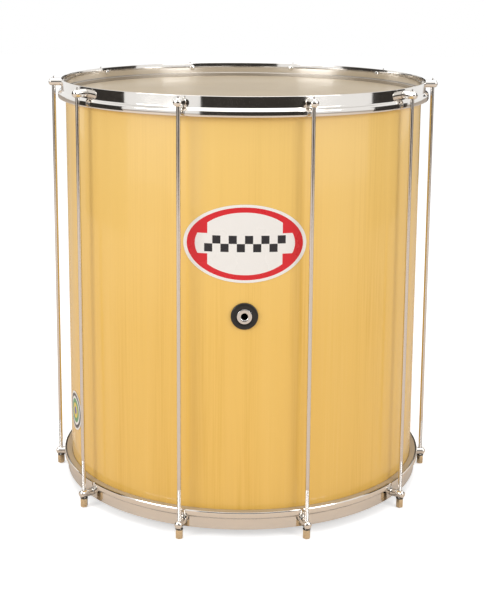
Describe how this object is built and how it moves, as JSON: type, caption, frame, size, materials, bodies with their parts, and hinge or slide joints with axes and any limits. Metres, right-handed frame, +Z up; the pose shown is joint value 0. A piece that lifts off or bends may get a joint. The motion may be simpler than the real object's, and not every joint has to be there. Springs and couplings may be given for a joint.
{
  "type": "surdo",
  "caption": "Deep bass drum: pale wooden shell with a head at each end, plated rims, long tension rods with tuning nuts, a vent and a label in front.",
  "frame": {"origin": "centre of the circle on which the drum stands, at the lower ends of its rods", "axes": "+Z up along the drum's axis, -Y towards the vent and the label, +X to the right of someone who looks at the label"},
  "size_m": [0.6162, 0.5862, 0.6457],
  "materials": {
    "shell_laminate": "glossy clear coat over pale yellow laminate",
    "head_skin": "milky drum film with a faint sheen",
    "hoop_metal": "plain drawn",
    "rim_chrome": "mirror plated",
    "stud_chrome": "mirror plated",
    "rod_chrome": "bright plated",
    "nut_nickel": "turned and lightly polished",
    "washer_steel": "dark oiled",
    "vent_plastic": "satin black",
    "eyelet_chrome": "bright plated",
    "label_film": null
  },
  "bodies": {
    "drum": {"shell": "shell_laminate", "top_head": "head_skin", "bottom_head": "head_skin", "top_flesh_hoop": "hoop_metal", "bottom_flesh_hoop": "hoop_metal", "top_rim": "rim_chrome", "bottom_rim": "rim_chrome", "top_rod_stud_01": "stud_chrome", "top_rod_stud_02": "stud_chrome", "top_rod_stud_03": "stud_chrome", "top_rod_stud_04": "stud_chrome", "top_rod_stud_05": "stud_chrome", "top_rod_stud_06": "stud_chrome", "top_rod_stud_07": "stud_chrome", "top_rod_stud_08": "stud_chrome", "top_rod_stud_09": "stud_chrome", "top_rod_stud_10": "stud_chrome", "bottom_rod_stud_01": "stud_chrome", "bottom_rod_stud_02": "stud_chrome", "bottom_rod_stud_03": "stud_chrome", "bottom_rod_stud_04": "stud_chrome", "bottom_rod_stud_05": "stud_chrome", "bottom_rod_stud_06": "stud_chrome", "bottom_rod_stud_07": "stud_chrome", "bottom_rod_stud_08": "stud_chrome", "bottom_rod_stud_09": "stud_chrome", "bottom_rod_stud_10": "stud_chrome", "tension_rod_01": "rod_chrome", "tension_rod_02": "rod_chrome", "tension_rod_03": "rod_chrome", "tension_rod_04": "rod_chrome", "tension_rod_05": "rod_chrome", "tension_rod_06": "rod_chrome", "tension_rod_07": "rod_chrome", "tension_rod_08": "rod_chrome", "tension_rod_09": "rod_chrome", "tension_rod_10": "rod_chrome", "vent_bezel": "vent_plastic", "vent_eyelet": "eyelet_chrome", "front_label": "label_film"},
    "washer_01": {"nut_washer_01": "washer_steel"},
    "nut_01": {"tuning_nut_01": "nut_nickel"},
    "washer_02": {"nut_washer_02": "washer_steel"},
    "nut_02": {"tuning_nut_02": "nut_nickel"},
    "washer_03": {"nut_washer_03": "washer_steel"},
    "nut_03": {"tuning_nut_03": "nut_nickel"},
    "washer_04": {"nut_washer_04": "washer_steel"},
    "nut_04": {"tuning_nut_04": "nut_nickel"},
    "washer_05": {"nut_washer_05": "washer_steel"},
    "nut_05": {"tuning_nut_05": "nut_nickel"},
    "washer_06": {"nut_washer_06": "washer_steel"},
    "nut_06": {"tuning_nut_06": "nut_nickel"},
    "washer_07": {"nut_washer_07": "washer_steel"},
    "nut_07": {"tuning_nut_07": "nut_nickel"},
    "washer_08": {"nut_washer_08": "washer_steel"},
    "nut_08": {"tuning_nut_08": "nut_nickel"},
    "washer_09": {"nut_washer_09": "washer_steel"},
    "nut_09": {"tuning_nut_09": "nut_nickel"},
    "washer_10": {"nut_washer_10": "washer_steel"},
    "nut_10": {"tuning_nut_10": "nut_nickel"}
  },
  "joints": [
    {"name": "nut_01_travel", "type": "slide", "parent": "drum", "child": "washer_01", "axis": [0, 0, -1], "range_m": [0, 0.012]},
    {"name": "nut_01_turn", "type": "hinge", "parent": "washer_01", "child": "nut_01", "pos_m": [0.09271, -0.28532, 0.007], "axis": [0, 0, -1], "range_deg": [0, 4320]},
    {"name": "nut_02_travel", "type": "slide", "parent": "drum", "child": "washer_02", "axis": [0, 0, -1], "range_m": [0, 0.012]},
    {"name": "nut_02_turn", "type": "hinge", "parent": "washer_02", "child": "nut_02", "pos_m": [0.24271, -0.17634, 0.007], "axis": [0, 0, -1], "range_deg": [0, 4320]},
    {"name": "nut_03_travel", "type": "slide", "parent": "drum", "child": "washer_03", "axis": [0, 0, -1], "range_m": [0, 0.012]},
    {"name": "nut_03_turn", "type": "hinge", "parent": "washer_03", "child": "nut_03", "pos_m": [0.3, 0, 0.007], "axis": [0, 0, -1], "range_deg": [0, 4320]},
    {"name": "nut_04_travel", "type": "slide", "parent": "drum", "child": "washer_04", "axis": [0, 0, -1], "range_m": [0, 0.012]},
    {"name": "nut_04_turn", "type": "hinge", "parent": "washer_04", "child": "nut_04", "pos_m": [0.24271, 0.17634, 0.007], "axis": [0, 0, -1], "range_deg": [0, 4320]},
    {"name": "nut_05_travel", "type": "slide", "parent": "drum", "child": "washer_05", "axis": [0, 0, -1], "range_m": [0, 0.012]},
    {"name": "nut_05_turn", "type": "hinge", "parent": "washer_05", "child": "nut_05", "pos_m": [0.09271, 0.28532, 0.007], "axis": [0, 0, -1], "range_deg": [0, 4320]},
    {"name": "nut_06_travel", "type": "slide", "parent": "drum", "child": "washer_06", "axis": [0, 0, -1], "range_m": [0, 0.012]},
    {"name": "nut_06_turn", "type": "hinge", "parent": "washer_06", "child": "nut_06", "pos_m": [-0.09271, 0.28532, 0.007], "axis": [0, 0, -1], "range_deg": [0, 4320]},
    {"name": "nut_07_travel", "type": "slide", "parent": "drum", "child": "washer_07", "axis": [0, 0, -1], "range_m": [0, 0.012]},
    {"name": "nut_07_turn", "type": "hinge", "parent": "washer_07", "child": "nut_07", "pos_m": [-0.24271, 0.17634, 0.007], "axis": [0, 0, -1], "range_deg": [0, 4320]},
    {"name": "nut_08_travel", "type": "slide", "parent": "drum", "child": "washer_08", "axis": [0, 0, -1], "range_m": [0, 0.012]},
    {"name": "nut_08_turn", "type": "hinge", "parent": "washer_08", "child": "nut_08", "pos_m": [-0.3, 0, 0.007], "axis": [0, 0, -1], "range_deg": [0, 4320]},
    {"name": "nut_09_travel", "type": "slide", "parent": "drum", "child": "washer_09", "axis": [0, 0, -1], "range_m": [0, 0.012]},
    {"name": "nut_09_turn", "type": "hinge", "parent": "washer_09", "child": "nut_09", "pos_m": [-0.24271, -0.17634, 0.007], "axis": [0, 0, -1], "range_deg": [0, 4320]},
    {"name": "nut_10_travel", "type": "slide", "parent": "drum", "child": "washer_10", "axis": [0, 0, -1], "range_m": [0, 0.012]},
    {"name": "nut_10_turn", "type": "hinge", "parent": "washer_10", "child": "nut_10", "pos_m": [-0.09271, -0.28532, 0.007], "axis": [0, 0, -1], "range_deg": [0, 4320]}
  ],
  "couplings": [
    {"joint": "nut_01_travel", "follows": "nut_01_turn", "m_per_rad": 0.00015915},
    {"joint": "nut_02_travel", "follows": "nut_02_turn", "m_per_rad": 0.00015915},
    {"joint": "nut_03_travel", "follows": "nut_03_turn", "m_per_rad": 0.00015915},
    {"joint": "nut_04_travel", "follows": "nut_04_turn", "m_per_rad": 0.00015915},
    {"joint": "nut_05_travel", "follows": "nut_05_turn", "m_per_rad": 0.00015915},
    {"joint": "nut_06_travel", "follows": "nut_06_turn", "m_per_rad": 0.00015915},
    {"joint": "nut_07_travel", "follows": "nut_07_turn", "m_per_rad": 0.00015915},
    {"joint": "nut_08_travel", "follows": "nut_08_turn", "m_per_rad": 0.00015915},
    {"joint": "nut_09_travel", "follows": "nut_09_turn", "m_per_rad": 0.00015915},
    {"joint": "nut_10_travel", "follows": "nut_10_turn", "m_per_rad": 0.00015915}
  ]
}
